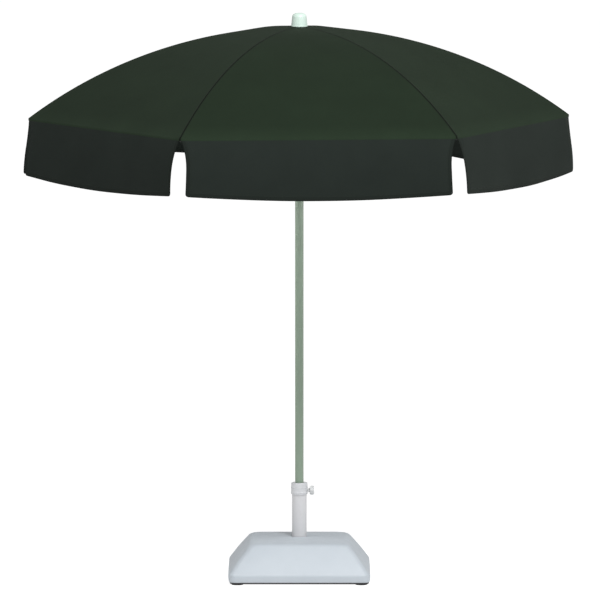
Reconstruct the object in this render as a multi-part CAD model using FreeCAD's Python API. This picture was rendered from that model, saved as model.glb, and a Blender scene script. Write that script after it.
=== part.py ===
import FreeCAD, Part
import math
import os

# Patio umbrella with a square weighted base. Millimetres, +Z up.
# Origin: centre of the base on the ground. The clamp knob is on the +X side.

V = FreeCAD.Vector
UP = V(0, 0, 1)

# canopy
RIBS = 6
RIB_STEP = 360.0 / RIBS
HALF_STEP = RIB_STEP / 2
FIRST_RIB = -115.4            # direction of rib 0, degrees from +X
CANOPY_R = 1200.0             # axis to rib tip, at the fold
FOLD_Z = 2054.0               # height of the fold between roof and valance
ROOF_RADIUS = 2008.0          # radius of the roof line over a rib
CLOTH = 1.0
CROWN_HOLE = 35.6             # radius of the hole in the roof cloth
MID_GAP = 0.25                # half the gap between two neighbouring roof cloths
ROOF_CENTRE_Z = FOLD_Z - math.sqrt(ROOF_RADIUS ** 2 - CANOPY_R ** 2)

# valance
VALANCE_SIDE = 250.0          # drop beside a slit
VALANCE_MID = 272.0           # drop at mid panel
VALANCE_LEAN = 5.0            # the flaps stand out at the hem, degrees
SLIT_HALF = 31.0              # half the slit width
SLIT_CORNER = 14.0
FOLD_GAP = 0.4

# ribs
RIB_WIDE = 12.0
RIB_TALL = 16.0
RIB_WALL = 1.5
RIB_TOP_RADIUS = ROOF_RADIUS - 3.5
RIB_MID_RADIUS = RIB_TOP_RADIUS - RIB_TALL / 2
RIB_LOW_RADIUS = RIB_TOP_RADIUS - RIB_TALL
PIVOT_R = 34.0                # axis to the crown pivots and to the runner pivots
PIVOT_Z = ROOF_CENTRE_Z + math.sqrt(RIB_MID_RADIUS ** 2 - PIVOT_R ** 2)
TONGUE = 8.0                  # thickness of the flattened ends
EYE_R = 7.6
CHANNEL_FROM = 66.0
CHANNEL_TO = 1178.0
TIP_NOSE = 1189.5
PIN_R = 2.5
EYE_PLAY = 0.06

# stretchers
BRACKET_AT = 600.0            # distance of a bracket from the axis, along the rib
BRACKET_DROP = 9.0            # pivot below the underside of the rib
BRACKET_PLATE = 1.5
BRACKET_ANGLE = math.asin(BRACKET_AT / RIB_MID_RADIUS)
BRACKET_X = (RIB_LOW_RADIUS - BRACKET_DROP) * math.sin(BRACKET_ANGLE)
BRACKET_Z = ROOF_CENTRE_Z + (RIB_LOW_RADIUS - BRACKET_DROP) * math.cos(BRACKET_ANGLE)
RUNNER_Z = FOLD_Z - 40.0
BAR_WIDE = 12.0
BAR_TALL = 13.0
BAR_WALL = 1.5
BAR_EYE_R = 6.5
BAR_FROM_EYE = 27.0

# runner
RUNNER_R = 25.0
RUNNER_FLANGE_R = 46.0
RUNNER_SLOT = 13.0
RUNNER_TOP = RUNNER_Z + 12.0
RUNNER_LIP = RUNNER_Z - 12.0
RUNNER_FOOT = RUNNER_Z - 78.0
GRIP_R = 30.0
CATCH_TOP = RUNNER_FOOT - 2.0
CATCH_LOW = CATCH_TOP - 62.0

# pole
POLE_R = 19.05
POLE_WALL = 1.2
POLE_BORE = POLE_R - POLE_WALL
SLIDE_PLAY = 0.1
POLE_FOOT = 26.0
POLE_JOINT = 1110.0
POLE_TOP = FOLD_Z + 370.0
SPIGOT_FROM = POLE_JOINT - 80.0
SPIGOT_TO = POLE_JOINT + 75.0
SPIGOT_WALL = 1.5

# crown
HUB_R = 44.0
HUB_TOP = POLE_TOP + 24.0
HUB_SLOT = 9.0
HUB_SLOT_FROM = 22.0
PIN_HALF = 12.0
FINIAL_FOOT = HUB_TOP + 5.0
FINIAL_TOP = FINIAL_FOOT + 61.0
FINIAL_R = 36.8
FINIAL_TOP_R = 31.5
STUD_R = 4.0

# base
BASE_HALF = 314.0
EDGE_Z = 56.0                 # where the side starts to round over
EDGE_ROUND = 16.0
PLATEAU_HALF = 199.0
PLATEAU_Z = 173.0
PLATEAU_ROUND = 14.0
DOME_Z = 179.0
FACET = math.degrees(math.atan2(PLATEAU_Z - EDGE_Z - 12, BASE_HALF - PLATEAU_HALF - 5))
SHELL = 4.0
TRAY_FROM = 6.0
TRAY_TO = 12.0
SLAB_TOP = 52.0
SLAB_HALF = 300.0
FOOT_R = 27.0
FOOT_AT = 274.0
TUBE_R = 32.5
TUBE_WALL = 2.0
TUBE_BORE = TUBE_R - TUBE_WALL
TUBE_FROM = 14.0
TUBE_TOP = 411.0
FLANGE_R = 85.0
FLANGE_T = 5.0
BOLT_RING = 66.0
BOLT_R = 5.0
BOLT_DEPTH = 28.0
COLLAR_R = 36.5
COLLAR_FOOT = 368.0
COLLAR_TOP = 420.0
KNOB_Z = 385.0
KNOB_R = 20.0
KNOB_FROM = 46.0
KNOB_T = 20.0
SCREW_R = 4.0
TRAY_SCREW_AT = 190.0
TRAY_SCREW_R = 3.0
TRAY_SCREW_TO = 34.0
FOOT_PEG_R = 9.0


def save(name, shape):
    shape.exportStep("parts/" + name + ".step")


def rib_angle(i):
    return FIRST_RIB + RIB_STEP * i


def turned(shape, degrees):
    out = shape.copy()
    out.rotate(V(0, 0, 0), UP, degrees)
    return out


def cyl(r, z0, z1, x=0, y=0):
    return Part.makeCylinder(r, z1 - z0, V(x, y, z0))


def ring(r_out, r_in, z0, z1):
    return cyl(r_out, z0, z1).cut(cyl(r_in, z0 - 1, z1 + 1))


def block(x0, x1, y0, y1, z0, z1):
    return Part.makeBox(x1 - x0, y1 - y0, z1 - z0, V(x0, y0, z0))


def cross_pin(r, x, z, half):
    """A round bar along Y through (x, z)."""
    return Part.makeCylinder(r, 2 * half, V(x, -half, z), V(0, 1, 0))


def revolve(points):
    """A solid of revolution about Z from (r, z) corners."""
    wire = Part.makePolygon([V(r, 0, z) for r, z in points + points[:1]])
    return Part.Face(wire).revolve(V(0, 0, 0), UP, 360)


def arc_z(x, radius):
    return ROOF_CENTRE_Z + math.sqrt(radius ** 2 - x ** 2)


def on_arc(radius, angle):
    """Point of the roof arc of a radius, at an angle in radians from the axis."""
    return V(radius * math.sin(angle), 0, ROOF_CENTRE_Z + radius * math.cos(angle))


def arc_bar(x0, x1, top, low, y0, y1):
    """A bar bent to the roof arc between two distances from the axis."""
    start = math.asin(x0 / top)
    stop = math.asin(x1 / top)
    mid = (start + stop) / 2
    edges = [
        Part.Arc(on_arc(top, start), on_arc(top, mid), on_arc(top, stop)).toShape(),
        Part.makeLine(on_arc(top, stop), on_arc(low, stop)),
        Part.Arc(on_arc(low, stop), on_arc(low, mid), on_arc(low, start)).toShape(),
        Part.makeLine(on_arc(low, start), on_arc(top, start)),
    ]
    face = Part.Face(Part.Wire(edges))
    face.translate(V(0, y0, 0))
    return face.extrude(V(0, y1 - y0, 0))


# ---------------------------------------------------------------- base

def rounded_square(half, corner, z):
    """Closed wire of a square of a half side, with round corners, at height z."""
    h = half
    c = half - corner
    k = corner * (1 - math.sqrt(0.5))
    ends = [
        (V(h, -c, z), V(h, c, z), V(h - k, h - k, z), V(c, h, z)),
        (V(c, h, z), V(-c, h, z), V(-h + k, h - k, z), V(-h, c, z)),
        (V(-h, c, z), V(-h, -c, z), V(-h + k, -h + k, z), V(-c, -h, z)),
        (V(-c, -h, z), V(c, -h, z), V(h - k, -h + k, z), V(h, -c, z)),
    ]
    edges = []
    for start, stop, middle, after in ends:
        edges.append(Part.makeLine(start, stop))
        edges.append(Part.Arc(stop, middle, after).toShape())
    return Part.Wire(edges)


def stacked(sections):
    wires = [rounded_square(*s) for s in sections]
    return Part.makeLoft(wires, True, True)


def shell_sections(skin, foot):
    """Square sections of the cover from its foot to the centre of its top, skin mm inside."""
    h = BASE_HALF - skin
    p = PLATEAU_HALF - skin * math.tan(math.radians(FACET / 2))
    steps = 4
    turn = math.radians(90 - FACET) / steps
    out = [(h - 5, 26, foot), (h - 1.5, 28, foot + 12), (h, 30, EDGE_Z - 12)]
    r = EDGE_ROUND - skin
    for k in range(steps + 1):
        a = turn * k
        out.append((h - r * (1 - math.cos(a)), 30 - k, EDGE_Z + r * math.sin(a)))
    r = PLATEAU_ROUND - skin
    start = math.radians(90 - FACET)
    turn = math.radians(FACET - 2) / steps
    for k in range(steps + 1):
        a = start + turn * k
        out.append((p + r * math.cos(a), 24 - k, PLATEAU_Z - skin - r * (1 - math.sin(a))))
    out.append((46, 16, DOME_Z - skin))
    return out


def base_shell():
    out = stacked(shell_sections(0, TRAY_TO))
    out = out.cut(stacked(shell_sections(SHELL, TRAY_TO - 4)))
    return out.cut(cyl(TUBE_R + 1.5, 0, DOME_Z + 10))


def ballast_slab():
    out = stacked([
        (SLAB_HALF, 24, TRAY_TO),
        (SLAB_HALF, 24, SLAB_TOP - 4),
        (SLAB_HALF - 4, 22, SLAB_TOP),
    ])
    out = out.cut(cyl(TUBE_R, TUBE_FROM, SLAB_TOP + 1))
    for x, y in bolt_spots():
        out = out.cut(cyl(BOLT_R, SLAB_TOP - BOLT_DEPTH, SLAB_TOP + 1, x, y))
    for x, y in tray_screw_spots():
        out = out.cut(cyl(TRAY_SCREW_R, 0, TRAY_SCREW_TO, x, y))
    return out


def bolt_spots():
    spots = []
    for k in range(4):
        a = math.radians(45 + 90 * k)
        spots.append((BOLT_RING * math.cos(a), BOLT_RING * math.sin(a)))
    return spots


def tray_screw_spots():
    s = TRAY_SCREW_AT
    return [(s, 0), (0, s), (-s, 0), (0, -s)]


def foot_spots():
    s = FOOT_AT
    return [(s, s), (-s, s), (-s, -s), (s, -s)]


def bottom_tray():
    out = stacked([
        (BASE_HALF - 8, 24, TRAY_FROM),
        (BASE_HALF - 6, 25, TRAY_FROM + 2),
        (BASE_HALF - 6, 25, TRAY_TO),
    ])
    for x, y in foot_spots():
        out = out.cut(cyl(FOOT_PEG_R, TRAY_FROM - 1, TRAY_TO - 2, x, y))
    for x, y in tray_screw_spots():
        out = out.cut(cyl(TRAY_SCREW_R, 0, TRAY_TO + 1, x, y))
    return out


def feet():
    pads = []
    for x, y in foot_spots():
        pad = Part.makeCone(FOOT_R - 2.5, FOOT_R, 2.5, V(x, y, 0))
        pad = pad.fuse(cyl(FOOT_R, 2.5, TRAY_FROM, x, y))
        pad = pad.fuse(cyl(FOOT_PEG_R, TRAY_FROM, TRAY_TO - 2, x, y))
        pads.append(pad.removeSplitter())
    return Part.makeCompound(pads)


def tray_screws():
    made = []
    for x, y in tray_screw_spots():
        head = cyl(6.5, 3.2, TRAY_FROM, x, y)
        head = head.cut(block(x - 5, x + 5, y - 0.8, y + 0.8, 2, 4.4))
        head = head.cut(block(x - 0.8, x + 0.8, y - 5, y + 5, 2, 4.4))
        shank = cyl(TRAY_SCREW_R, TRAY_FROM, TRAY_SCREW_TO, x, y)
        made.append(head.fuse(shank).removeSplitter())
    return Part.makeCompound(made)


def clamp_bar(r, x, length):
    """A round bar along +X at the height of the clamp, from distance x."""
    return Part.makeCylinder(r, length, V(x, 0, KNOB_Z), V(1, 0, 0))


def socket_tube():
    """Steel tube with its welded foot flange and the welded nut of the clamp."""
    out = cyl(TUBE_R, TUBE_FROM, TUBE_TOP)
    out = out.fuse(cyl(FLANGE_R, SLAB_TOP, SLAB_TOP + FLANGE_T))
    out = out.cut(cyl(TUBE_BORE, TUBE_FROM - 1, TUBE_TOP + 1))
    out = out.fuse(clamp_bar(7.5, TUBE_R - 1, 3.2))
    out = out.cut(clamp_bar(SCREW_R + 0.08, 24, 20))
    for x, y in bolt_spots():
        out = out.cut(cyl(BOLT_R, SLAB_TOP - 1, SLAB_TOP + FLANGE_T + 1, x, y))
    return out.removeSplitter()


def hexagon(r, z0, z1, x, y):
    spots = []
    for k in range(7):
        a = math.radians(60 * k)
        spots.append(V(x + r * math.cos(a), y + r * math.sin(a), z0))
    return Part.Face(Part.makePolygon(spots)).extrude(V(0, 0, z1 - z0))


def flange_bolts():
    made = []
    seat = SLAB_TOP + FLANGE_T
    for x, y in bolt_spots():
        bolt = cyl(BOLT_R, SLAB_TOP - BOLT_DEPTH, seat, x, y)
        bolt = bolt.fuse(hexagon(9.2, seat, seat + 6.4, x, y))
        made.append(bolt.removeSplitter())
    return Part.makeCompound(made)


def foot_bush():
    """Cup in the foot of the tube that centres the pole and carries it."""
    out = cyl(TUBE_BORE, TUBE_FROM, 54)
    out = out.cut(cyl(POLE_R + SLIDE_PLAY, 20, 56))
    return out


def collar_bush():
    out = ring(TUBE_BORE, POLE_R + SLIDE_PLAY, TUBE_TOP - 58, TUBE_TOP)
    return out.cut(clamp_bar(SCREW_R + 0.4, 10, 30))


def tube_collar():
    """Moulded cap over the head of the tube, with two raised rings."""
    low = COLLAR_FOOT
    top = COLLAR_TOP
    outer = [
        (TUBE_R, low), (COLLAR_R - 1, low), (COLLAR_R, low + 1),
        (COLLAR_R, low + 5), (COLLAR_R + 1.2, low + 6.5),
        (COLLAR_R + 1.2, low + 9.5), (COLLAR_R, low + 11),
        (COLLAR_R, low + 27), (COLLAR_R + 1.2, low + 28.5),
        (COLLAR_R + 1.2, low + 31.5), (COLLAR_R, low + 33),
        (COLLAR_R, top - 4), (COLLAR_R - 1.2, top - 1.2),
        (COLLAR_R - 4, top), (POLE_R + 1.2, top),
        (POLE_R + SLIDE_PLAY, top - 1.1), (POLE_R + SLIDE_PLAY, TUBE_TOP),
        (TUBE_R, TUBE_TOP),
    ]
    out = revolve(outer)
    out = out.cut(clamp_bar(7.6, TUBE_R - 0.5, 3.0))
    return out.cut(clamp_bar(SCREW_R + 0.5, TUBE_R - 4, 20))


def clamp_screw():
    """Threaded rod of the clamp, with a rounded tip just off the pole."""
    start = POLE_R + 0.5
    tip = Part.makeCone(SCREW_R - 1.2, SCREW_R, 1.6, V(start, 0, KNOB_Z), V(1, 0, 0))
    rod = clamp_bar(SCREW_R, start + 1.6, KNOB_FROM + 12 - start - 1.6)
    return tip.fuse(rod).removeSplitter()


def clamp_knob():
    """Round-lobed hand knob with a short neck."""
    neck = clamp_bar(8.5, KNOB_FROM - 6.3, 6.5)
    body = clamp_bar(KNOB_R, KNOB_FROM, KNOB_T)
    body = body.makeFillet(5.5, [e for e in body.Edges if len(e.Vertexes) == 1])
    for k in range(8):
        a = math.radians(45 * k + 22.5)
        y = (KNOB_R + 3.4) * math.cos(a)
        z = KNOB_Z + (KNOB_R + 3.4) * math.sin(a)
        groove = Part.makeCylinder(5.0, KNOB_T + 2, V(KNOB_FROM - 1, y, z), V(1, 0, 0))
        body = body.cut(groove)
    out = neck.fuse(body)
    return out.cut(clamp_bar(SCREW_R, KNOB_FROM - 7, 19.3)).removeSplitter()


# ---------------------------------------------------------------- pole

def lower_pole():
    out = ring(POLE_R, POLE_BORE, POLE_FOOT, POLE_JOINT)
    for z in rivet_heights():
        out = out.cut(cross_pin(PIN_R, 0, z, 30))
    return out


def rivet_heights():
    return [SPIGOT_FROM + 22, SPIGOT_FROM + 58]


def joint_spigot():
    r = POLE_BORE - SLIDE_PLAY
    out = ring(r, r - SPIGOT_WALL, SPIGOT_FROM, SPIGOT_TO)
    for z in rivet_heights():
        out = out.cut(cross_pin(PIN_R, 0, z, 30))
    return out


def spigot_rivets():
    made = []
    for z in rivet_heights():
        pin = cross_pin(PIN_R, 0, z, POLE_R + 2)
        made.append(pin.common(cyl(POLE_R, z - 10, z + 10)))
    return Part.makeCompound(made)


def pole_foot_plug():
    out = revolve([
        (0, 20.4), (POLE_R - 2, 20.4), (POLE_R - 0.2, 22),
        (POLE_R - 0.2, POLE_FOOT), (POLE_BORE, POLE_FOOT),
        (POLE_BORE, POLE_FOOT + 20), (POLE_BORE - 2.4, POLE_FOOT + 20),
        (POLE_BORE - 2.4, POLE_FOOT + 2), (0, POLE_FOOT + 2),
    ])
    return out


def upper_pole():
    out = ring(POLE_R, POLE_BORE, POLE_JOINT + 0.3, POLE_TOP)
    window = block(-30, 0, -3, 3, CATCH_LOW, CATCH_TOP)
    return out.cut(window)


def catch_spring():
    """Leaf that stands out of the pole under the runner and holds it up."""
    wall_in = -POLE_BORE + 1.4
    corners = [
        (wall_in, CATCH_LOW - 26), (wall_in, CATCH_LOW + 3),
        (-POLE_R - 4.6, CATCH_TOP - 1.2), (-POLE_R + 4.6, CATCH_TOP - 1.2),
        (-POLE_R + 4.6, CATCH_TOP - 2.6), (-POLE_R - 2.9, CATCH_TOP - 2.6),
        (wall_in + 1.4, CATCH_LOW + 2), (wall_in + 1.4, CATCH_LOW - 26),
    ]
    wire = Part.makePolygon([V(x, -2.5, z) for x, z in corners + corners[:1]])
    leaf = Part.Face(wire).extrude(V(0, 5, 0))
    rivet = Part.makeCylinder(2, 3, V(wall_in - 1.3, 0, CATCH_LOW - 17), V(1, 0, 0))
    return leaf.fuse(rivet)


# ---------------------------------------------------------------- crown

def radial_slots(width, start, stop, z0, z1):
    slots = []
    for i in range(RIBS):
        slot = block(start, stop, -width / 2, width / 2, z0, z1)
        slots.append(turned(slot, rib_angle(i)))
    return slots


def crown_hub():
    out = cyl(HUB_R, POLE_TOP, HUB_TOP).fuse(cyl(POLE_BORE, POLE_TOP - 34, POLE_TOP))
    for slot in radial_slots(HUB_SLOT, HUB_SLOT_FROM, HUB_R + 5, POLE_TOP - 1, HUB_TOP + 1):
        out = out.cut(slot)
    for i in range(RIBS):
        pin = cross_pin(PIN_R, PIVOT_R, PIVOT_Z, PIN_HALF)
        out = out.cut(turned(pin, rib_angle(i)))
    return out.cut(cyl(STUD_R, POLE_TOP - 40, HUB_TOP + 1)).removeSplitter()


def crown_pins():
    pins = []
    for i in range(RIBS):
        pins.append(turned(cross_pin(PIN_R, PIVOT_R, PIVOT_Z, PIN_HALF), rib_angle(i)))
    return Part.makeCompound(pins)


def crown_stud():
    return cyl(STUD_R, POLE_TOP - 36, FINIAL_FOOT + 30)


def finial():
    """Tapered cap with a domed top. Its boss passes through the cloth."""
    top = FINIAL_TOP
    foot = FINIAL_FOOT
    out = revolve([
        (0, HUB_TOP), (CROWN_HOLE - 1.6, HUB_TOP), (CROWN_HOLE - 1.6, foot),
        (FINIAL_R - 1, foot), (FINIAL_R, foot + 1.2), (FINIAL_R, foot + 5),
        (FINIAL_R - 0.8, foot + 6.5), (FINIAL_TOP_R + 0.5, top - 17),
        (FINIAL_TOP_R - 1.5, top - 11), (FINIAL_TOP_R - 6, top - 5.5),
        (FINIAL_TOP_R - 14, top - 1.6), (0, top),
    ])
    return out.cut(cyl(STUD_R, HUB_TOP - 1, FINIAL_FOOT + 30))


# ---------------------------------------------------------------- ribs

def rib():
    """Bent channel, open below, with a flattened eye at the crown."""
    half = RIB_WIDE / 2
    out = arc_bar(CHANNEL_FROM, CHANNEL_TO, RIB_TOP_RADIUS, RIB_LOW_RADIUS, -half, half)
    inner = half - RIB_WALL
    hollow = arc_bar(CHANNEL_FROM + 14, CHANNEL_TO + 4,
                     RIB_TOP_RADIUS - RIB_WALL, RIB_LOW_RADIUS - 4, -inner, inner)
    out = out.cut(hollow)
    tongue = arc_bar(PIVOT_R, CHANNEL_FROM + 8, RIB_MID_RADIUS + EYE_R,
                     RIB_MID_RADIUS - EYE_R, -TONGUE / 2, TONGUE / 2)
    tongue = tongue.fuse(cross_pin(EYE_R, PIVOT_R, PIVOT_Z, TONGUE / 2))
    out = out.fuse(tongue)
    out = out.cut(cross_pin(PIN_R + EYE_PLAY, PIVOT_R, PIVOT_Z, 20))
    x, z = bracket_rivet()
    out = out.cut(cross_pin(PIN_R, x, z, 20))
    return out.removeSplitter()


def bracket_rivet():
    x = RIB_MID_RADIUS * math.sin(BRACKET_ANGLE)
    z = ROOF_CENTRE_Z + RIB_MID_RADIUS * math.cos(BRACKET_ANGLE)
    return x, z


def rib_tip():
    """Moulded end cap: a plug in the channel and a round nose in the cloth pocket."""
    inner = RIB_WIDE / 2 - RIB_WALL
    plug = arc_bar(CHANNEL_TO - 24, CHANNEL_TO + 2, RIB_TOP_RADIUS - RIB_WALL,
                   RIB_LOW_RADIUS + 1, -inner, inner)
    cap = arc_bar(CHANNEL_TO, TIP_NOSE, RIB_TOP_RADIUS, RIB_LOW_RADIUS, -6, 6)
    low = arc_z(TIP_NOSE, RIB_LOW_RADIUS) + 1.5
    nose = Part.makeCylinder(7, 13.5, V(TIP_NOSE, 0, low))
    return plug.fuse(cap).fuse(nose).removeSplitter()


def rib_bracket():
    """Two cheek plates riveted to the rib, with the pin for the stretcher."""
    cheeks = []
    for side in (-1, 1):
        y0 = RIB_WIDE / 2
        y1 = y0 + BRACKET_PLATE
        low, high = (y0, y1) if side > 0 else (-y1, -y0)
        plate = arc_bar(BRACKET_AT - 13, BRACKET_AT + 13, RIB_TOP_RADIUS - 3,
                        RIB_LOW_RADIUS - BRACKET_DROP, low, high)
        round_end = Part.makeCylinder(7, BRACKET_PLATE, V(BRACKET_X, low, BRACKET_Z),
                                      V(0, 1, 0))
        cheeks.append(plate.fuse(round_end))
    x, z = bracket_rivet()
    reach = RIB_WIDE / 2 + BRACKET_PLATE
    out = cheeks[0].fuse(cheeks[1])
    out = out.fuse(cross_pin(PIN_R, x, z, reach + 1.0))
    out = out.fuse(cross_pin(PIN_R, BRACKET_X, BRACKET_Z, reach + 1.0))
    return out.removeSplitter()


def stretcher():
    """Box bar from the rib bracket to the runner. Built along +X, then laid in."""
    dx = PIVOT_R - BRACKET_X
    dz = RUNNER_Z - BRACKET_Z
    length = math.hypot(dx, dz)
    half = BAR_WIDE / 2
    tall = BAR_TALL / 2
    body = block(BAR_FROM_EYE, length - BAR_FROM_EYE, -half, half, -tall, tall)
    inner = half - BAR_WALL
    deep = tall - BAR_WALL
    body = body.cut(block(BAR_FROM_EYE + 10, length - BAR_FROM_EYE - 10,
                          -inner, inner, -deep, deep))
    outer_end = block(0, BAR_FROM_EYE + 4, -5.5, 5.5, -BAR_EYE_R, BAR_EYE_R)
    outer_end = outer_end.fuse(cross_pin(BAR_EYE_R, 0, 0, 5.5))
    outer_end = outer_end.cut(cross_pin(PIN_R + EYE_PLAY, 0, 0, 20))
    inner_end = block(length - BAR_FROM_EYE - 4, length, -TONGUE / 2, TONGUE / 2,
                      -BAR_EYE_R, BAR_EYE_R)
    inner_end = inner_end.fuse(cross_pin(BAR_EYE_R, length, 0, TONGUE / 2))
    stubs = cross_pin(PIN_R, length, 0, RUNNER_SLOT / 2 - 0.3)
    out = body.fuse(outer_end).fuse(inner_end).fuse(stubs).removeSplitter()
    out.rotate(V(0, 0, 0), V(0, 1, 0), -math.degrees(math.atan2(dz, dx)))
    out.translate(V(BRACKET_X, 0, BRACKET_Z))
    return out


# ---------------------------------------------------------------- runner

def runner_body():
    out = revolve([
        (POLE_R + SLIDE_PLAY, RUNNER_FOOT), (GRIP_R - 2, RUNNER_FOOT),
        (GRIP_R, RUNNER_FOOT + 2), (GRIP_R, RUNNER_FOOT + 12),
        (RUNNER_R, RUNNER_FOOT + 20), (RUNNER_R, RUNNER_LIP - 6),
        (RUNNER_R + 5, RUNNER_LIP), (RUNNER_FLANGE_R - 2, RUNNER_LIP),
        (RUNNER_FLANGE_R, RUNNER_LIP + 2), (RUNNER_FLANGE_R, RUNNER_TOP - 2),
        (RUNNER_FLANGE_R - 2, RUNNER_TOP), (POLE_R + SLIDE_PLAY, RUNNER_TOP),
    ])
    for slot in radial_slots(RUNNER_SLOT, RUNNER_R + 0.5, RUNNER_FLANGE_R + 5,
                             RUNNER_LIP - 20, RUNNER_TOP + 1):
        out = out.cut(slot)
    return out.removeSplitter()


# ---------------------------------------------------------------- cloth

def half_roof(side):
    """Roof cloth from a rib plane to the mid plane of the panel on one side."""
    cos_half = math.cos(math.radians(HALF_STEP))
    steps = 14

    def curve(radius, start):
        end = math.sqrt(radius ** 2 - (FOLD_Z - ROOF_CENTRE_Z) ** 2)
        spots = []
        for k in range(steps + 1):
            r = start + (end - start) * k / steps
            spots.append(V(r * cos_half, 0, arc_z(r, radius)))
        line = Part.BSplineCurve()
        line.interpolate(spots)
        return line.toShape(), spots

    outer, top = curve(ROOF_RADIUS, 10.0)
    inner, low = curve(ROOF_RADIUS - CLOTH, 10.0)
    face = Part.Face(Part.Wire([
        outer, Part.makeLine(top[-1], low[-1]), inner, Part.makeLine(low[0], top[0])]))
    face.translate(V(0, -700, 0))
    strip = face.extrude(V(0, 1400, 0))
    strip.rotate(V(0, 0, 0), UP, side * HALF_STEP)
    a = math.radians(HALF_STEP)
    far = 1600
    near = MID_GAP / math.sin(a)
    spots = [
        V(near, 0, 1900), V(far, 0, 1900),
        V(far * math.cos(a) + MID_GAP * math.sin(a),
          side * (far * math.sin(a) - MID_GAP * math.cos(a)), 1900),
        V(near, 0, 1900),
    ]
    wedge = Part.Face(Part.makePolygon(spots)).extrude(V(0, 0, 700))
    return strip.common(wedge).cut(cyl(CROWN_HOLE, 1900, 2600))


def canopy():
    return half_roof(1).fuse(half_roof(-1)).removeSplitter()


def half_flap(side):
    """Valance cloth from a slit to mid panel, hanging from the fold."""
    along = CANOPY_R / 2 - MID_GAP
    w = SLIT_HALF
    side_drop = VALANCE_SIDE - SLIT_CORNER
    k = SLIT_CORNER * (1 - math.sqrt(0.5))
    slit = [(0.9, 0), (0.4 * w, 20), (0.75 * w, 50), (0.94 * w, 90), (w, 130), (w, side_drop)]
    hem = [(w + SLIT_CORNER, VALANCE_SIDE), (0.4 * along, VALANCE_SIDE + 9.5),
           (0.7 * along, VALANCE_MID - 2.0), (along, VALANCE_MID)]

    def at(s, drop):
        return V(s, 0, -drop)

    def smooth(spots):
        line = Part.BSplineCurve()
        line.interpolate([at(*p) for p in spots])
        return line.toShape()

    corner = Part.Arc(at(w, side_drop), at(w + k, VALANCE_SIDE - k),
                      at(w + SLIT_CORNER, VALANCE_SIDE)).toShape()
    wire = Part.Wire([
        smooth(slit), corner, smooth(hem),
        Part.makeLine(at(along, VALANCE_MID), at(along, 0)),
        Part.makeLine(at(along, 0), at(0.9, 0)),
    ])
    flap = Part.Face(wire).extrude(V(0, side * CLOTH, 0))
    flap.rotate(V(0, 0, 0), V(1, 0, 0), -side * VALANCE_LEAN)
    flap.rotate(V(0, 0, 0), UP, side * (90 + HALF_STEP))
    flap.translate(V(CANOPY_R, 0, FOLD_Z - FOLD_GAP))
    return flap


def valance():
    return Part.makeCompound([half_flap(1), half_flap(-1)])


# ---------------------------------------------------------------- output

FIXED = {
    "base_shell": base_shell,
    "ballast_slab": ballast_slab,
    "bottom_tray": bottom_tray,
    "feet": feet,
    "tray_screws": tray_screws,
    "socket_tube": socket_tube,
    "flange_bolts": flange_bolts,
    "foot_bush": foot_bush,
    "collar_bush": collar_bush,
    "tube_collar": tube_collar,
    "clamp_screw": clamp_screw,
    "clamp_knob": clamp_knob,
    "lower_pole": lower_pole,
    "pole_foot_plug": pole_foot_plug,
    "joint_spigot": joint_spigot,
    "spigot_rivets": spigot_rivets,
    "upper_pole": upper_pole,
    "catch_spring": catch_spring,
    "crown_hub": crown_hub,
    "crown_pins": crown_pins,
    "crown_stud": crown_stud,
    "finial": finial,
    "runner_body": runner_body,
}

PER_RIB = {
    "rib": rib,
    "rib_tip": rib_tip,
    "rib_bracket": rib_bracket,
    "stretcher": stretcher,
    "canopy": canopy,
    "valance": valance,
}

os.makedirs("parts", exist_ok=True)
for node, make in FIXED.items():
    save(node, make())
for node, make in PER_RIB.items():
    pattern = make()
    for i in range(RIBS):
        save(node + "_" + str(i), turned(pattern, rib_angle(i)))
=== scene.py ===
import bpy
import math
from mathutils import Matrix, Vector


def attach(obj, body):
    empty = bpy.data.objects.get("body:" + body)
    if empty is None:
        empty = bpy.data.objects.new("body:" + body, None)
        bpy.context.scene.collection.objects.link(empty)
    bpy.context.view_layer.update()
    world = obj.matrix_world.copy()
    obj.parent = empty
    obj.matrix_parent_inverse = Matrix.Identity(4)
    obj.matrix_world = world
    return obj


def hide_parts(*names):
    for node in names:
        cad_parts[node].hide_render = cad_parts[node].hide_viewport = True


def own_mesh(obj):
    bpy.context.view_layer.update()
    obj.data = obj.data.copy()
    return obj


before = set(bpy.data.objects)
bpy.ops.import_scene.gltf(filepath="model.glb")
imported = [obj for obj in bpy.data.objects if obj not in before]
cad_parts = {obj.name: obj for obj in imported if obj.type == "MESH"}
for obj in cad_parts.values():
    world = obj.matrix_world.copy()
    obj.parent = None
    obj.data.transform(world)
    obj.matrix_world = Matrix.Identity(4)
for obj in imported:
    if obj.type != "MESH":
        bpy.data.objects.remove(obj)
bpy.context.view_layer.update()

# ------------------------------------------------------------ sizes of the canopy, metres
RIBS = 6
FIRST_RIB = math.radians(-115.4)
STEP = 2 * math.pi / RIBS
HALF = STEP / 2
TIP_R = 1.200
FOLD_Z = 2.054
ROOF_R = 2.008
CROWN_R = 0.0357
CENTRE_Z = FOLD_Z - math.sqrt(ROOF_R ** 2 - TIP_R ** 2)
SLOPE = math.asin(TIP_R / ROOF_R)
SLANT = ROOF_R * SLOPE
CHORD = 2 * TIP_R * math.sin(HALF)
CLOTH_THICK = 0.0008
CRISP_ANGLE = math.radians(50)

# fold between roof and valance
FOLD_R = 0.012
FOLD_TOP = FOLD_R * math.cos(SLOPE)
FOLD_OUT = FOLD_R * (1 - math.sin(SLOPE))

# the fold stands out in full from this share of the half panel, and this distance, on
ROOF_FOLD_FROM = 1 / 12
FLAP_FOLD_FROM = 0.05

# flaps of the valance and the slits between them
DROP_SIDE = 0.250
DROP_MID = 0.272
HEM_CORNER = 0.014
FLAP_PROUD = 0.032
SEAM_GAP = 0.0008
SLIT = 0.027
SLIT_ROUND = 0.13
SLIT_TAPER = 0.26

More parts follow.
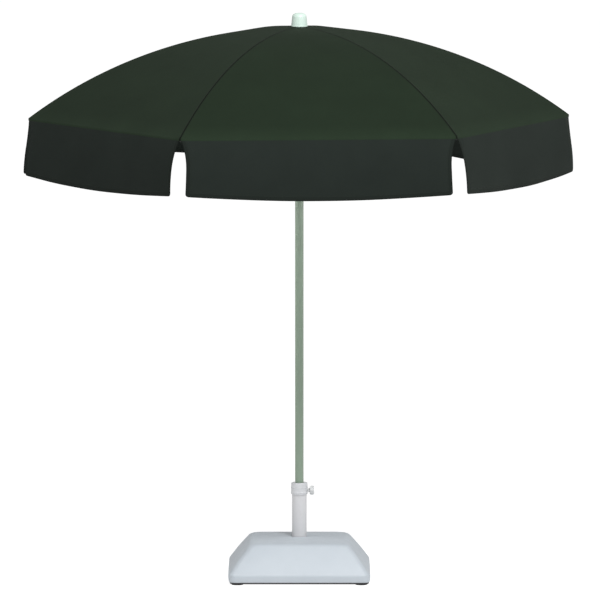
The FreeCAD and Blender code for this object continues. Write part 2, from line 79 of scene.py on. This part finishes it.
# height of a ripple, waves in a panel, shift from one panel to the next
RIPPLES = ((0.0032, 1.5, 0.17), (0.0016, 3.4, 0.31))

# divisions of the cloth meshes
ROOF_ACROSS = 40
ROOF_DOWN = 70
FOLD_STEPS = 6
FLAP_ACROSS = 64
FLAP_DOWN = 40

# powers by which the columns of the meshes crowd towards the rib
ROOF_CROWD = 1.6
FLAP_CROWD = 1.5

# weave and stitching
THREAD_PITCH = 0.0011
STITCH_PITCH = 0.0042
STITCH_IN = 0.0014
ROOF_SEAM = 0.0066
FLAP_HEM = 0.0200
EDGE_BLUR = 0.0012
# painted shade in the crease at a seam or edge: full up to the first distance, gone by the
# second
CREASE_SHADE = (0.0020, 0.0040)
STITCH_HALF = (0.00035, 0.0007)
STITCH_SHARE = (0.34, 0.40)

# ------------------------------------------------------------ sizes of the base cover, metres
BASE_HALF = 0.314
EDGE_Z = 0.037
EDGE_ROUND = 0.018
PLATEAU_HALF = 0.199
PLATEAU_Z = 0.1715
PLATEAU_ROUND = 0.034
DOME_HALF = 0.045
DOME_Z = 0.179
COVER_WALL = 0.0036

# the slope between the two rounded edges, and the angle by which its outward normal points up
SLOPE_RISE = PLATEAU_Z - EDGE_Z - 0.013
SLOPE_RUN = BASE_HALF - PLATEAU_HALF - 0.005
SLOPE_NORMAL = math.pi / 2 - math.atan2(SLOPE_RISE, SLOPE_RUN)
SLOPE_BULGE = 0.0022

# incline at which the upper rounding meets the plateau
PLATEAU_PITCH = 0.04

# half width, corner radius and height of the rolled-in lower edge
FOOT_OUTLINE = ((0.3085, 0.024, 0.0123), (0.3100, 0.026, 0.0132), (0.3110, 0.027, 0.015),
                (0.3128, 0.029, 0.022), (0.3138, 0.030, 0.030))

# corner radii seen from above: at the side, at the slope's foot and top, on the plateau
CORNER_SIDE = 0.032
CORNER_LOW = 0.024
CORNER_HIGH = 0.028
CORNER_PLATEAU = 0.044
CORNER_DOME = 0.046

# how far the sides bow out at the lower edge, the rounded edge and the slope
FOOT_BOW = 0.0006
EDGE_BOW = 0.0008
SLOPE_BOW = 0.0012

# radius and height of the rim around the tube's hole
RIM_OUTLINE = ((0.0420, DOME_Z), (0.0395, DOME_Z + 0.0006), (0.0362, DOME_Z + 0.0004),
               (0.0350, DOME_Z - 0.0012), (0.0347, DOME_Z - 0.008))

# divisions of the cover's mesh, and where its rings stand between plateau edge and dome
ROUND_STEPS = 8
SLOPE_STEPS = 10
DOME_STATIONS = (0.12, 0.25, 0.4, 0.55, 0.7, 0.82, 0.92)
SIDE_STEPS = 14
CORNER_STEPS = 10

# ------------------------------------------------------------ floor, light and camera
FLOOR_SIZE = 160.0
FLOOR_GREY = (0.30, 0.30, 0.30, 1)
FLOOR_GLOW = 0.88
SKY_STRENGTH = 0.50
LIT_POINT = (0, 0, 0.9)
CAMERA_DISTANCE = 40.0
CAMERA_RISE = math.radians(5.1)
CAMERA_X = 0.003
AIM_BELOW_FOLD = 0.818
FRAME_WIDTH = 2.647
SENSOR = 36.0


# ------------------------------------------------------------ building a material
class Nodes:
    """A principled material with short ways to add and join nodes."""

    def __init__(self, name):
        self.mat = bpy.data.materials.new(name)
        self.mat.use_nodes = True
        self.tree = self.mat.node_tree
        self.tree.nodes.clear()
        self.out = self.add("ShaderNodeOutputMaterial")
        self.bsdf = self.add("ShaderNodeBsdfPrincipled")
        self.link(self.bsdf.outputs["BSDF"], self.out.inputs["Surface"])

    def add(self, kind, **props):
        n = self.tree.nodes.new(kind)
        for k, v in props.items():
            setattr(n, k, v)
        return n

    def link(self, a, b):
        self.tree.links.new(a, b)

    def put(self, value, socket):
        if isinstance(value, bpy.types.NodeSocket):
            self.link(value, socket)
        else:
            socket.default_value = value

    def math(self, op, a, b=0.0):
        n = self.add("ShaderNodeMath", operation=op)
        for v, s in zip((a, b), n.inputs):
            self.put(v, s)
        return n.outputs[0]

    def ramp(self, value, lo, hi, a=0.0, b=1.0):
        """Takes lo..hi to a..b, and holds the ends."""
        n = self.add("ShaderNodeMapRange", clamp=True)
        for v, s in zip((value, lo, hi, a, b), n.inputs):
            self.put(v, s)
        return n.outputs[0]

    def mix(self, fac, a, b):
        n = self.add("ShaderNodeMix", data_type="RGBA")
        self.put(fac, n.inputs[0])
        self.put(a, n.inputs[6])
        self.put(b, n.inputs[7])
        return n.outputs[2]

    def noise(self, vec, scale, detail=3.0, rough=0.5):
        n = self.add("ShaderNodeTexNoise")
        self.put(scale, n.inputs["Scale"])
        self.put(detail, n.inputs["Detail"])
        self.put(rough, n.inputs["Roughness"])
        self.link(vec, n.inputs["Vector"])
        return n.outputs["Fac"]

    def cells(self, vec, scale):
        n = self.add("ShaderNodeTexVoronoi")
        self.link(vec, n.inputs["Vector"])
        self.put(scale, n.inputs["Scale"])
        return n.outputs["Distance"]

    def position(self):
        return self.add("ShaderNodeTexCoord").outputs["Object"]

    def split(self, vec):
        n = self.add("ShaderNodeSeparateXYZ")
        self.link(vec, n.inputs[0])
        return n.outputs

    def stretch(self, vec, scale):
        n = self.add("ShaderNodeMapping")
        self.link(vec, n.inputs["Vector"])
        self.put(scale, n.inputs["Scale"])
        return n.outputs["Vector"]

    def shade(self, color, value):
        """The colour with its brightness multiplied by value."""
        n = self.add("ShaderNodeHueSaturation")
        self.put(color, n.inputs["Color"])
        self.put(value, n.inputs["Value"])
        return n.outputs[0]

    def bump(self, height, strength, distance, under=None):
        n = self.add("ShaderNodeBump")
        self.put(height, n.inputs["Height"])
        self.put(strength, n.inputs["Strength"])
        self.put(distance, n.inputs["Distance"])
        if under is not None:
            self.link(under, n.inputs["Normal"])
        return n.outputs["Normal"]

    def finish(self, color, rough, normal=None, metal=0.0, **extra):
        self.put(color, self.bsdf.inputs["Base Color"])
        self.put(rough, self.bsdf.inputs["Roughness"])
        self.put(metal, self.bsdf.inputs["Metallic"])
        for k, v in extra.items():
            self.put(v, self.bsdf.inputs[k.replace("_", " ")])
        if normal is not None:
            self.link(normal, self.bsdf.inputs["Normal"])
        return self.mat


def srgb(r, g, b):
    """A colour given in the 0 to 255 levels of a screen, as linear values."""
    def lin(c):
        c = c / 255
        return c / 12.92 if c <= 0.04045 else ((c + 0.055) / 1.055) ** 2.4
    return (lin(r), lin(g), lin(b), 1.0)


# ------------------------------------------------------------ materials
def canopy_cloth(name, base, seam_tone_and_shade, thread, hem, fold_highlight):
    """Woven cloth. UV 'weave' is in metres; 'edge' holds distance from and along a seam or hem.

    hem is the width of the turned edge; the last argument is (from, to, factor) for a painted
    highlight along V, lighter towards the fold."""
    n = Nodes(name)
    weave = n.add("ShaderNodeUVMap", uv_map="weave").outputs[0]
    u, v, _ = n.split(weave)
    threads = 2 * math.pi / THREAD_PITCH
    warp = n.math("SINE", n.math("MULTIPLY", u, threads))
    weft = n.math("SINE", n.math("MULTIPLY", v, threads))
    cell = n.math("MULTIPLY", warp, weft)
    # turned edge, painted shade in the crease beside the seam, and the row of stitches
    edge = n.add("ShaderNodeUVMap", uv_map="edge").outputs[0]
    away, along, _ = n.split(edge)
    band = n.ramp(away, hem, hem + EDGE_BLUR, 1.0, 0.0)
    crease_shade = n.ramp(away, *CREASE_SHADE, 1.0, 0.0)
    off_row = n.math("ABSOLUTE", n.math("SUBTRACT", away, hem - STITCH_IN))
    row = n.ramp(off_row, *STITCH_HALF, 1.0, 0.0)
    phase = n.math("FRACT", n.math("DIVIDE", along, STITCH_PITCH))
    off_middle = n.math("ABSOLUTE", n.math("SUBTRACT", phase, 0.5))
    dash = n.ramp(off_middle, *STITCH_SHARE, 1.0, 0.0)
    stitch = n.math("MULTIPLY", row, dash)
    # tone: cloudy wear, a painted highlight towards the fold, each thread's own shading
    pos = n.position()
    cloud = n.ramp(n.noise(pos, 5.0, 4.0, 0.6), 0.3, 0.7, 0.93, 1.07)
    start, end, factor = fold_highlight
    tone = n.math("MULTIPLY", cloud, n.ramp(v, start, end, 1.0, factor))
    tone = n.math("MULTIPLY", tone, n.ramp(cell, -1.0, 1.0, 0.88, 1.10))
    color = n.mix(n.math("MULTIPLY", band, 0.35), n.shade(base, tone), seam_tone_and_shade)
    # painted shade darkening the crease
    color = n.mix(n.math("MULTIPLY", crease_shade, 0.9), color, seam_tone_and_shade)
    color = n.mix(n.math("MULTIPLY", stitch, 0.8), color, thread)
    # relief: threads, then the turned edge with its stitches, then soft waves
    fine = n.noise(weave, 900.0, 2.0, 0.5)
    height = n.math("ADD", n.math("MULTIPLY", cell, 0.5), n.math("MULTIPLY", fine, 0.5))
    normal = n.bump(height, 0.35, 0.0003)
    raised = n.math("SUBTRACT", band, n.math("MULTIPLY", row, 0.6))
    normal = n.bump(raised, 0.6, 0.0009, normal)
    normal = n.bump(n.noise(pos, 14.0, 3.0, 0.55), 0.12, 0.006, normal)
    return n.finish(color, n.ramp(cell, -1, 1, 0.86, 0.74), normal,
                    Sheen_Weight=0.03, Sheen_Roughness=0.5,
                    Sheen_Tint=(0.6, 0.7, 0.6, 1.0), Specular_IOR_Level=0.05)


def painted(name, base, wear, rough=0.36):
    """Powder-coated metal: fine orange peel, faint rubbed streaks along Z, some dust."""
    n = Nodes(name)
    pos = n.position()
    streak = n.noise(n.stretch(pos, (60, 60, 3)), 3.0, 5.0, 0.6)
    peel = n.noise(pos, 900.0, 2.0, 0.5)
    dust = n.noise(pos, 18.0, 4.0, 0.65)
    color = n.mix(n.ramp(streak, 0.55, 0.8, 0.0, 0.35), base, wear)
    color = n.mix(n.ramp(dust, 0.55, 0.75, 0.0, 0.12), color, (0.30, 0.28, 0.24, 1))
    r = n.math("ADD", rough, n.ramp(streak, 0.3, 0.7, -0.04, 0.10))
    return n.finish(color, r, n.bump(peel, 0.10, 0.0003), Coat_Weight=0.15,
                    Coat_Roughness=0.25)


def moulded(name, base, shade, rough=0.42, grain=520.0):
    """Moulded plastic: fine spark-eroded grain, slight mottling and handling dirt."""
    n = Nodes(name)
    pos = n.position()
    fine = n.noise(pos, grain, 3.0, 0.6)
    broad = n.noise(pos, 7.0, 4.0, 0.6)
    grime = n.noise(pos, 30.0, 5.0, 0.7)
    color = n.mix(n.ramp(broad, 0.35, 0.7, 0.0, 0.5), base, shade)
    color = n.mix(n.ramp(grime, 0.58, 0.82, 0.0, 0.10), color, (0.22, 0.21, 0.18, 1))
    r = n.math("ADD", rough, n.ramp(grime, 0.3, 0.7, -0.05, 0.10))
    return n.finish(color, r, n.bump(fine, 0.25, 0.00025))


def zinc(name):
    """Zinc-plated steel with a fine spangle."""
    n = Nodes(name)
    pos = n.position()
    color = n.mix(n.ramp(n.cells(pos, 260.0), 0.1, 0.8, 0.0, 1.0),
                  (0.48, 0.49, 0.50, 1), (0.62, 0.63, 0.63, 1))
    return n.finish(color, n.ramp(n.noise(pos, 60.0), 0.3, 0.7, 0.28, 0.45),
                    n.bump(n.noise(pos, 700.0), 0.08, 0.0003), metal=1.0)


def rubber(name):
    """Black rubber of the feet."""
    n = Nodes(name)
    pos = n.position()
    color = n.mix(n.ramp(n.noise(pos, 40.0), 0.4, 0.7, 0.0, 0.5),
                  (0.012, 0.012, 0.013, 1), (0.035, 0.034, 0.032, 1))
    return n.finish(color, 0.75, n.bump(n.noise(pos, 600.0), 0.3, 0.0004))


def cast(name):
    """Cast concrete of the ballast, with small pits."""
    n = Nodes(name)
    pos = n.position()
    color = n.mix(n.ramp(n.noise(pos, 12.0, 6.0, 0.7), 0.3, 0.7, 0.0, 1.0),
                  (0.25, 0.24, 0.22, 1), (0.42, 0.41, 0.38, 1))
    pits = n.ramp(n.cells(pos, 90.0), 0.0, 0.25, 0.0, 1.0)
    return n.finish(color, 0.9, n.bump(pits, 0.4, 0.002))


# the last tuple of each cloth is a painted highlight along V, lighter towards the fold
# the second colour of each cloth darkens its turned edges and is painted shade in the creases
# at seams and edges
CLOTH = canopy_cloth("canopy_cloth", srgb(27, 37, 26), srgb(7, 10, 7), srgb(38, 48, 37),
                     ROOF_SEAM, (SLANT - 0.12, SLANT - 0.02, 1.28))
FLAP = canopy_cloth("valance_cloth", srgb(28, 33, 30), srgb(17, 21, 18), srgb(42, 50, 44),
                    FLAP_HEM, (0.16, 0.0, 1.12))
POLE = painted("sage_paint", srgb(119, 136, 119), srgb(133, 149, 132))
TUBE = painted("tube_paint", srgb(190, 190, 192), srgb(198, 198, 200), 0.42)
RIB_PAINT = painted("rib_paint", srgb(52, 64, 54), srgb(66, 78, 67), 0.4)
COLLAR = moulded("collar_plastic", srgb(191, 192, 194), srgb(182, 184, 188), 0.40)
SHELL = moulded("shell_plastic", srgb(169, 176, 182), srgb(161, 168, 175), 0.44, 360.0)
TRAY = moulded("tray_plastic", srgb(24, 24, 25), srgb(30, 30, 31), 0.6)
KNOB = moulded("knob_plastic", srgb(196, 197, 197), srgb(188, 190, 191), 0.34)
FINIAL = moulded("finial_plastic", srgb(201, 219, 209), srgb(176, 199, 184), 0.34)
CROWN_PLASTIC = moulded("crown_plastic", srgb(118, 134, 118), srgb(104, 120, 104), 0.45)
BUSH = moulded("bush_plastic", srgb(92, 95, 95), srgb(80, 83, 83), 0.5)
PLUG = moulded("plug_plastic", srgb(36, 36, 36), srgb(44, 44, 44), 0.5)
TIP = moulded("tip_plastic", srgb(17, 21, 17), srgb(23, 27, 23), 0.75)
ZINC = zinc("zinc_plate")
RUBBER = rubber("pad_rubber")
CAST = cast("cast_slab")

FINISH = {
    "base_shell": SHELL, "ballast_slab": CAST, "bottom_tray": TRAY, "feet": RUBBER,
    "tray_screws": ZINC, "socket_tube": TUBE, "flange_bolts": ZINC, "foot_bush": BUSH,
    "collar_bush": BUSH, "tube_collar": COLLAR, "clamp_screw": ZINC, "clamp_knob": KNOB,
    "lower_pole": POLE, "pole_foot_plug": PLUG, "joint_spigot": ZINC,
    "spigot_rivets": POLE, "upper_pole": POLE, "catch_spring": ZINC,
    "crown_hub": CROWN_PLASTIC, "crown_pins": ZINC, "crown_stud": ZINC,
    "finial": FINIAL, "runner_body": CROWN_PLASTIC,
}
PER_RIB = {"rib": RIB_PAINT, "rib_tip": TIP, "rib_bracket": ZINC, "stretcher": RIB_PAINT}
for node, mat in PER_RIB.items():
    for i in range(RIBS):
        FINISH[node + "_" + str(i)] = mat

for node, mat in FINISH.items():
    ob = bpy.data.objects[node]
    ob.data.materials.clear()
    ob.data.materials.append(mat)


# ------------------------------------------------------------ making an object
def add_object(name, verts, faces, mat):
    """A mesh object of one material, put into the scene."""
    me = bpy.data.meshes.new(name)
    me.from_pydata(verts, [], faces)
    me.update()
    me.materials.append(mat)
    ob = bpy.data.objects.new(name, me)
    bpy.context.scene.collection.objects.link(ob)
    return ob


def add_wall(name, verts, faces, mat, thickness):
    """A smooth sheet, thickened behind its face, with sharp edges kept crisp."""
    ob = add_object(name, verts, faces, mat)
    for poly in ob.data.polygons:
        poly.use_smooth = True
    mod = ob.modifiers.new("wall", "SOLIDIFY")
    mod.thickness = thickness
    mod.offset = -1.0
    split = ob.modifiers.new("crisp", "EDGE_SPLIT")
    split.split_angle = CRISP_ANGLE
    return ob


# ------------------------------------------------------------ cloth
def joined(table, turned):
    """The rows of a table one after the other, each from its far end if turned."""
    out = []
    for row in table:
        out.extend(reversed(row) if turned else row)
    return out


def cloth_piece(name, rows, weave, edge, mat, turned):
    """Cloth through rows of points, with its two UV layers in tables of the same form."""
    wide = len(rows[0])
    faces = []
    for j in range(len(rows) - 1):
        for k in range(wide - 1):
            a = j * wide + k
            faces.append((a, a + 1, a + wide + 1, a + wide))
    ob = add_wall(name, joined(rows, turned), faces, mat, CLOTH_THICK)
    for layer_name, table in (("weave", weave), ("edge", edge)):
        values = joined(table, turned)
        layer = ob.data.uv_layers.new(name=layer_name)
        for loop in ob.data.loops:
            layer.data[loop.index].uv = values[loop.vertex_index]
    return ob


def half_name(kind, i, side):
    return kind + "_" + str(i) + ("b" if side > 0 else "a")


def outward(i, side):
    """Level direction from the axis to the middle of the panel beside rib i."""
    m = FIRST_RIB + STEP * i + side * HALF
    return Vector((math.cos(m), math.sin(m), 0))


def roof_point(i, side, t, w):
    """Point of the roof by rib i: t from crown to fold, w from the rib (0) to mid panel (1)."""
    r = CROWN_R + (TIP_R - CROWN_R) * t
    up = Vector((0, 0, CENTRE_Z + math.sqrt(ROOF_R ** 2 - r ** 2)))
    a = FIRST_RIB + STEP * i
    at_rib = Vector((math.cos(a), math.sin(a), 0)) * r + up
    at_mid = outward(i, side) * r * math.cos(HALF) + up
    return at_rib.lerp(at_mid, w)


def half_roof(i, side):
    """Roof cloth from rib i to the middle of the panel on one side, with its folded edge."""
    out = outward(i, side)
    stations = [(j / ROOF_DOWN, 0.0) for j in range(ROOF_DOWN + 1)]
    for j in range(1, FOLD_STEPS + 1):
        stations.append((1.0, (math.pi / 2 - SLOPE) * j / FOLD_STEPS))
    rows, weave, edge = [], [], []
    run = 0.0
    for t, turn in stations:
        dx = FOLD_R * (math.sin(SLOPE + turn) - math.sin(SLOPE))
        dz = FOLD_R * (math.cos(SLOPE + turn) - math.cos(SLOPE))
        row = []
        for k in range(ROOF_ACROSS + 1):
            w = (k / ROOF_ACROSS) ** ROOF_CROWD
            p = roof_point(i, side, t, w)
            row.append(p + out * dx * min(1.0, w / ROOF_FOLD_FROM) + Vector((0, 0, dz)))
        if rows:
            run += (row[0] - rows[-1][0]).length
        from_rib = [(p - row[0]).length for p in row]
        weave.append([(side * d, run) for d in from_rib])
        edge.append([(d, run) for d in from_rib])
        rows.append(row)
    return cloth_piece(half_name("roof", i, side), rows, weave, edge, CLOTH, side < 0)


def slit_edge(drop):
    """How far the flap's edge stands in from the seam at a drop below the fold."""
    x = min(1.0, drop / SLIT_ROUND)
    wide = (SLIT - SEAM_GAP) * math.sin(x * math.pi / 2) ** 0.8
    return SEAM_GAP + wide * (1.0 - SLIT_TAPER * (drop / DROP_SIDE) ** 2)


def hem_drop(s):
    """Drop of the hem at distance s from the seam along the fold."""
    x = min(1.0, max(0.0, (s - SLIT) / (CHORD / 2 - SLIT)))
    return DROP_SIDE + (DROP_MID - DROP_SIDE) * math.sin(x * math.pi / 2)


def corner_cut(s):
    """What the rounded corner of the hem takes off the drop at distance s from the seam."""
    near = max(0.0, s - slit_edge(DROP_SIDE))
    if near >= HEM_CORNER:
        return 0.0
    q = 1 - near / HEM_CORNER
    return HEM_CORNER * (1 - math.sqrt(1 - q * q))


def flap_push(panel, s, f):
    """Outward stand-off of the flap: hangs a little proud, with soft ripples."""
    wave = 0.0
    for height, waves, shift in RIPPLES:
        wave += height * math.sin(2 * math.pi * (waves * s / CHORD + shift * panel))
    return FLAP_PROUD * math.sin(f * math.pi / 2) + wave * f * f


def half_flap(i, side):
    """Flap of the valance from the slit at rib i to mid panel on one side."""
    a = FIRST_RIB + STEP * i
    out = outward(i, side)
    along = Vector((-out.y, out.x, 0)) * side
    tip = Vector((TIP_R * math.cos(a), TIP_R * math.sin(a), FOLD_Z))
    panel = i if side > 0 else (i - 1) % RIBS
    rows, weave, edge = [], [], []
    for j in range(FLAP_DOWN + 1):
        f = j / FLAP_DOWN
        start = slit_edge(FOLD_TOP + f * (DROP_SIDE - FOLD_TOP))
        row, weave_row, edge_row = [], [], []
        for k in range(FLAP_ACROSS + 1):
            s = start + (CHORD / 2 - start) * (k / FLAP_ACROSS) ** FLAP_CROWD
            hem = hem_drop(s)
            if f > 0.5:
                hem -= corner_cut(s)
            drop = FOLD_TOP + f * (hem - FOLD_TOP)
            s = max(s, slit_edge(drop))
            from_left = s if side > 0 else CHORD - s
            stand = FOLD_OUT * min(1.0, s / FLAP_FOLD_FROM) + flap_push(panel, from_left, f)
            row.append(tip + along * s + out * stand - Vector((0, 0, drop)))
            from_slit = s - slit_edge(drop)
            from_hem = hem - drop
            weave_row.append((side * s, drop))
            edge_row.append((min(from_slit, from_hem), s if from_hem < from_slit else drop))
        rows.append(row)
        weave.append(weave_row)
        edge.append(edge_row)
    return cloth_piece(half_name("flap", i, side), rows, weave, edge, FLAP, side < 0)


for i in range(RIBS):
    for side in (-1, 1):
        roof = half_roof(i, side)
        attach(roof, "rib_" + str(i))
        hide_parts("canopy_" + str(i))
        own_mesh(roof)
        flap = half_flap(i, side)
        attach(flap, "valance_" + str(i))
        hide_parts("valance_" + str(i))
        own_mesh(flap)


# ------------------------------------------------------------ moulded cover of the base
def blend(a, b, f):
    """The value a share f of the way from a to b."""
    return a + (b - a) * f


def square_ring(half, corner, z, bow=0.0):
    """Points of a rounded square at height z; its sides bow out by bow metres."""
    c = half - corner
    corner_bow = bow * (1 - (c / half) ** 2)
    quarter = []
    for k in range(SIDE_STEPS):
        y = -c + 2 * c * k / SIDE_STEPS
        quarter.append((half + bow * (1 - (y / half) ** 2), y))
    for k in range(CORNER_STEPS):
        t = math.pi / 2 * k / CORNER_STEPS
        reach = corner + corner_bow
        quarter.append((c + reach * math.cos(t), c + reach * math.sin(t)))
    ring = []
    for q in range(4):
        turn = math.pi / 2 * q
        for x, y in quarter:
            ring.append(Vector((x * math.cos(turn) - y * math.sin(turn),
                                x * math.sin(turn) + y * math.cos(turn), z)))
    return ring


def round_ring(like, radius, z):
    """Points of a circle in the same directions as those of another ring."""
    ring = []
    for p in like:
        flat = Vector((p.x, p.y, 0)).normalized() * radius
        ring.append(Vector((flat.x, flat.y, z)))
    return ring


def edge_point(normal):
    """Half width and height on the rounded edge where its normal points up by an angle."""
    return (BASE_HALF - EDGE_ROUND * (1 - math.cos(normal)),
            EDGE_Z + EDGE_ROUND * math.sin(normal))


def plateau_point(normal):
    """The same on the rounding between the slope and the plateau."""
    return (PLATEAU_HALF + PLATEAU_ROUND * math.cos(normal),
            PLATEAU_Z - PLATEAU_ROUND * (1 - math.sin(normal)))


def cover_rings():
    """The cover's rings from its lower edge, up the slope, to the rim round the tube."""
    rings = [square_ring(half, corner, z, FOOT_BOW) for half, corner, z in FOOT_OUTLINE]
    for k in range(ROUND_STEPS + 1):
        f = k / ROUND_STEPS
        half, z = edge_point(SLOPE_NORMAL * f)
        rings.append(square_ring(half, blend(CORNER_SIDE, CORNER_LOW, f), z, EDGE_BOW))
    low_half, low_z = edge_point(SLOPE_NORMAL)
    high_half, high_z = plateau_point(SLOPE_NORMAL)
    for k in range(1, SLOPE_STEPS):
        f = k / SLOPE_STEPS
        bulge = SLOPE_BULGE * math.sin(math.pi * f)
        half = blend(low_half, high_half, f) + bulge * math.cos(SLOPE_NORMAL)
        z = blend(low_z, high_z, f) + bulge * math.sin(SLOPE_NORMAL)
        rings.append(square_ring(half, blend(CORNER_LOW, CORNER_HIGH, f), z, SLOPE_BOW))
    for k in range(ROUND_STEPS + 1):
        f = k / ROUND_STEPS
        half, z = plateau_point(blend(SLOPE_NORMAL, math.pi / 2 - PLATEAU_PITCH, f))
        rings.append(square_ring(half, blend(CORNER_HIGH, CORNER_PLATEAU, f), z, SLOPE_BOW))
    for f in DOME_STATIONS:
        half = blend(PLATEAU_HALF, DOME_HALF, f)
        corner = min(blend(CORNER_DOME, CORNER_PLATEAU, f), half * 0.98)
        rings.append(square_ring(half, corner, blend(PLATEAU_Z, DOME_Z, f ** 0.85)))
    for radius, z in RIM_OUTLINE:
        rings.append(round_ring(rings[0], radius, z))
    return rings


def base_cover():
    """The moulded cover, a closed band of faces through its rings."""
    rings = cover_rings()
    count = len(rings[0])
    faces = []
    for j in range(len(rings) - 1):
        low = j * count
        high = low + count
        for k in range(count):
            n = (k + 1) % count
            faces.append((low + k, low + n, high + n, high + k))
    return add_wall("base_cover", joined(rings, False), faces, SHELL, COVER_WALL)


cover = base_cover()
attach(cover, "base")
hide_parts("base_shell")

# ------------------------------------------------------------ rounded edges of the hard parts
EDGE_WIDTH = {"tube_collar": 0.0007, "finial": 0.003, "socket_tube": 0.0005,
              "bottom_tray": 0.001, "clamp_knob": 0.0012, "crown_hub": 0.001,
              "runner_body": 0.001}
SHARP_ANGLE = math.radians(20)
for node, width in EDGE_WIDTH.items():
    mod = bpy.data.objects[node].modifiers.new("edge", "BEVEL")
    mod.width = width
    mod.segments = 3
    mod.limit_method = "ANGLE"
    mod.angle_limit = SHARP_ANGLE


# ------------------------------------------------------------ floor, light, camera
def white_floor():
    """A wide floor that gives off light, so that it is as white as the background."""
    h = FLOOR_SIZE / 2
    n = Nodes("floor")
    tone = n.ramp(n.noise(n.position(), 0.6), 0.3, 0.7, 0.98, 1.0)
    mat = n.finish(n.shade(FLOOR_GREY, tone), 0.95, Specular_IOR_Level=0.0,
                   Emission_Color=(1.0, 1.0, 1.0, 1.0), Emission_Strength=FLOOR_GLOW)
    corners = [(-h, -h, 0.0), (h, -h, 0.0), (h, h, 0.0), (-h, h, 0.0)]
    return add_object("floor", corners, [(0, 1, 2, 3)], mat)


floor = white_floor()

world = bpy.data.worlds.new("studio")
bpy.context.scene.world = world
world.use_nodes = True
world.node_tree.nodes["Background"].inputs["Color"].default_value = (1.0, 1.0, 1.0, 1)
world.node_tree.nodes["Background"].inputs["Strength"].default_value = SKY_STRENGTH


def look_at(ob, target):
    ob.rotation_euler = (Vector(target) - ob.location).to_track_quat("-Z", "Y").to_euler()


def area_light(name, where, to, size, power, color=(1, 1, 1)):
    data = bpy.data.lights.new(name, "AREA")
    data.shape = "DISK"
    data.size = size
    data.energy = power
    data.color = color
    ob = bpy.data.objects.new(name, data)
    ob.location = where
    look_at(ob, to)
    bpy.context.scene.collection.objects.link(ob)
    return ob


area_light("key", (2.3, -6.0, 7.8), LIT_POINT, size=2.5, power=760, color=(0.98, 0.99, 1.0))
area_light("fill", (-5.0, -7.5, 2.5), LIT_POINT, size=3.0, power=40, color=(0.94, 0.95, 1.0))

# two faint lights under the canopy, as light thrown back by the white floor
for x in (-0.7, 0.7):
    under = area_light("under", (x, -0.3, 1.72), (x * 0.3, 0.0, 0.1), size=0.5, power=5)
    under.visible_camera = False

lens = bpy.data.cameras.new("camera")
lens.sensor_width = SENSOR
lens.lens = SENSOR * CAMERA_DISTANCE / FRAME_WIDTH
lens.clip_start = 1.0
lens.clip_end = 400.0
cam = bpy.data.objects.new("camera", lens)
height = FOLD_Z + CAMERA_DISTANCE * math.tan(CAMERA_RISE)
cam.location = (CAMERA_X, -CAMERA_DISTANCE, height)
look_at(cam, (CAMERA_X, 0.0, FOLD_Z - AIM_BELOW_FOLD))
bpy.context.scene.collection.objects.link(cam)
bpy.context.scene.camera = cam
bpy.context.scene.view_settings.view_transform = "Standard"
